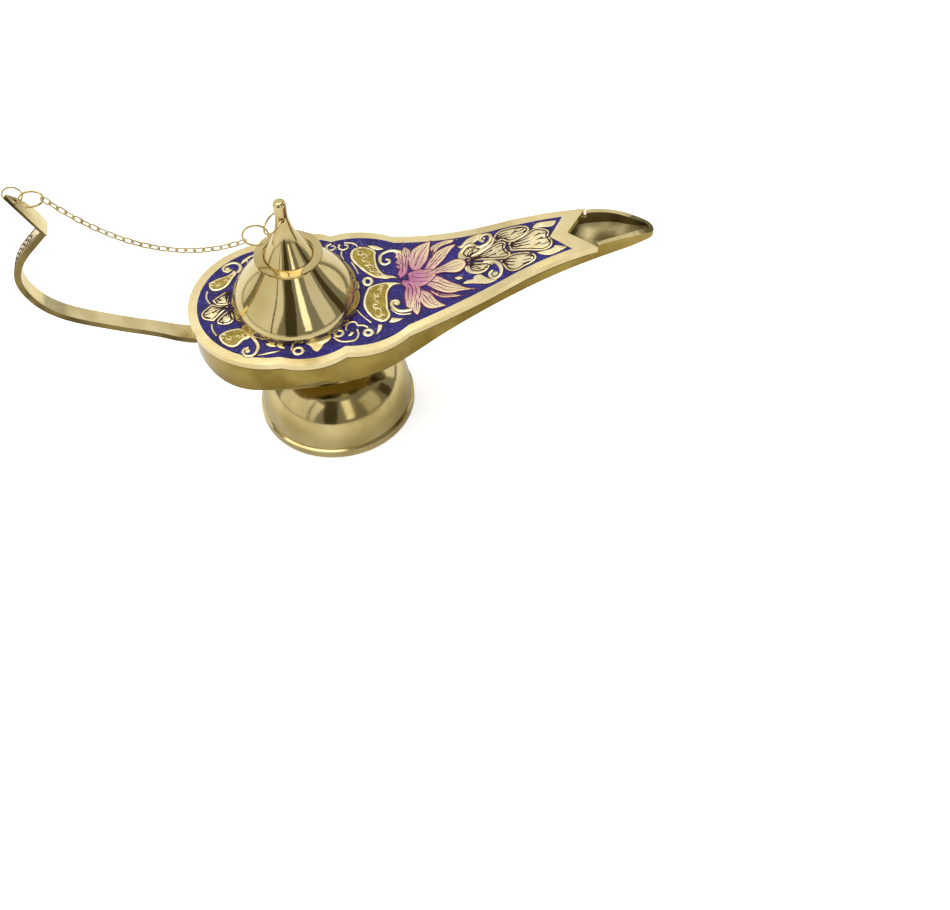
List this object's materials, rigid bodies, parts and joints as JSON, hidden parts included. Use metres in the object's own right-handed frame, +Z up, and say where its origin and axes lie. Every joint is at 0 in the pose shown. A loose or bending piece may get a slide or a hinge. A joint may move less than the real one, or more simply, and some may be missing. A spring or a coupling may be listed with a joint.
{
  "type": "genie oil lamp",
  "caption": "Brass oil lamp with a long spout, enamelled floral top plate, lift-off domed lid on a safety chain, curled strap handle and bell foot.",
  "frame": {"origin": "centre of the foot on the table", "axes": "+X towards the spout, +Z up, the XZ plane is the lamp's middle plane"},
  "size_m": [0.2943, 0.0896, 0.1603],
  "materials": {
    "cast_brass": "polished casting",
    "turned_brass": "lathe turned, polished",
    "brass_wire": "bright drawn wire",
    "steel": "zinc plated",
    "enamel_blue": "cold enamel, glossy",
    "enamel_pink": "cold enamel, glossy",
    "enamel_yellow": "cold enamel, glossy",
    "enamel_maroon": "cold enamel, glossy"
  },
  "bodies": {
    "vessel": {"foot": "cast_brass", "foot_washer": "steel", "foot_nut": "steel", "body_stud": "steel", "body_shell": "cast_brass", "deck_plate": "cast_brass", "enamel_blue": "enamel_blue", "enamel_pink": "enamel_pink", "enamel_yellow": "enamel_yellow", "enamel_maroon": "enamel_maroon", "handle": "cast_brass"},
    "handle_ring": {"handle_ring": "brass_wire"},
    "chain_start_ring": {"chain_start_ring": "brass_wire"},
    "chain_run_1": {"chain_run_1": "brass_wire"},
    "chain_run_2": {"chain_run_2": "brass_wire"},
    "chain_run_3": {"chain_run_3": "brass_wire"},
    "chain_run_4": {"chain_run_4": "brass_wire"},
    "chain_end_ring": {"chain_end_ring": "brass_wire"},
    "finial_ring": {"finial_ring": "brass_wire"},
    "lid": {"lid_dome": "turned_brass", "lid_saucer": "turned_brass", "lid_spigot": "turned_brass", "finial": "turned_brass", "lid_washer": "steel", "lid_nut": "steel"}
  },
  "joints": [
    {"name": "lid_lift", "type": "slide", "parent": "vessel", "child": "finial_ring", "axis": [0, 0, 1], "range_m": [0, 0.025]},
    {"name": "lid_turn", "type": "hinge", "parent": "finial_ring", "child": "lid", "pos_m": [-0.0125, 0, 0.076], "axis": [0, 0, 1], "range_deg": [-10, 10]},
    {"name": "handle_ring_swing", "type": "hinge", "parent": "vessel", "child": "handle_ring", "pos_m": [-0.12226, 0, 0.15178], "axis": [0, 1, 0], "range_deg": [-0.6, 2.52]},
    {"name": "chain_start_ring_swing", "type": "hinge", "parent": "handle_ring", "child": "chain_start_ring", "pos_m": [-0.11958, 0, 0.15326], "axis": [0, 1, 0], "range_deg": [-8.37, 0.6]},
    {"name": "chain_run_1_swing", "type": "hinge", "parent": "chain_start_ring", "child": "chain_run_1", "pos_m": [-0.10968, 0, 0.15186], "axis": [0, 1, 0], "range_deg": [-0.6, 3.5]},
    {"name": "chain_run_2_swing", "type": "hinge", "parent": "chain_run_1", "child": "chain_run_2", "pos_m": [-0.09434, 0, 0.13419], "axis": [0, 1, 0], "range_deg": [-9.97, 0.6]},
    {"name": "chain_run_3_swing", "type": "hinge", "parent": "chain_run_2", "child": "chain_run_3", "pos_m": [-0.07541, 0, 0.12025], "axis": [0, 1, 0], "range_deg": [-7.48, 0.6]},
    {"name": "chain_run_4_swing", "type": "hinge", "parent": "chain_run_3", "child": "chain_run_4", "pos_m": [-0.05309, 0, 0.11308], "axis": [0, 1, 0], "range_deg": [-5.73, 0.6]},
    {"name": "chain_end_ring_swing", "type": "hinge", "parent": "chain_run_4", "child": "chain_end_ring", "pos_m": [-0.02977, 0, 0.1152], "axis": [0, 1, 0], "range_deg": [-5.77, 0.6]}
  ],
  "couplings": [
    {"joint": "handle_ring_swing", "follows": "lid_lift", "rad_per_m": 1.3403},
    {"joint": "chain_start_ring_swing", "follows": "lid_lift", "rad_per_m": -5.4235},
    {"joint": "chain_run_1_swing", "follows": "lid_lift", "rad_per_m": 2.0211},
    {"joint": "chain_run_2_swing", "follows": "lid_lift", "rad_per_m": -6.5433},
    {"joint": "chain_run_3_swing", "follows": "lid_lift", "rad_per_m": -4.8059},
    {"joint": "chain_run_4_swing", "follows": "lid_lift", "rad_per_m": -3.5814},
    {"joint": "chain_end_ring_swing", "follows": "lid_lift", "rad_per_m": -3.612}
  ]
}
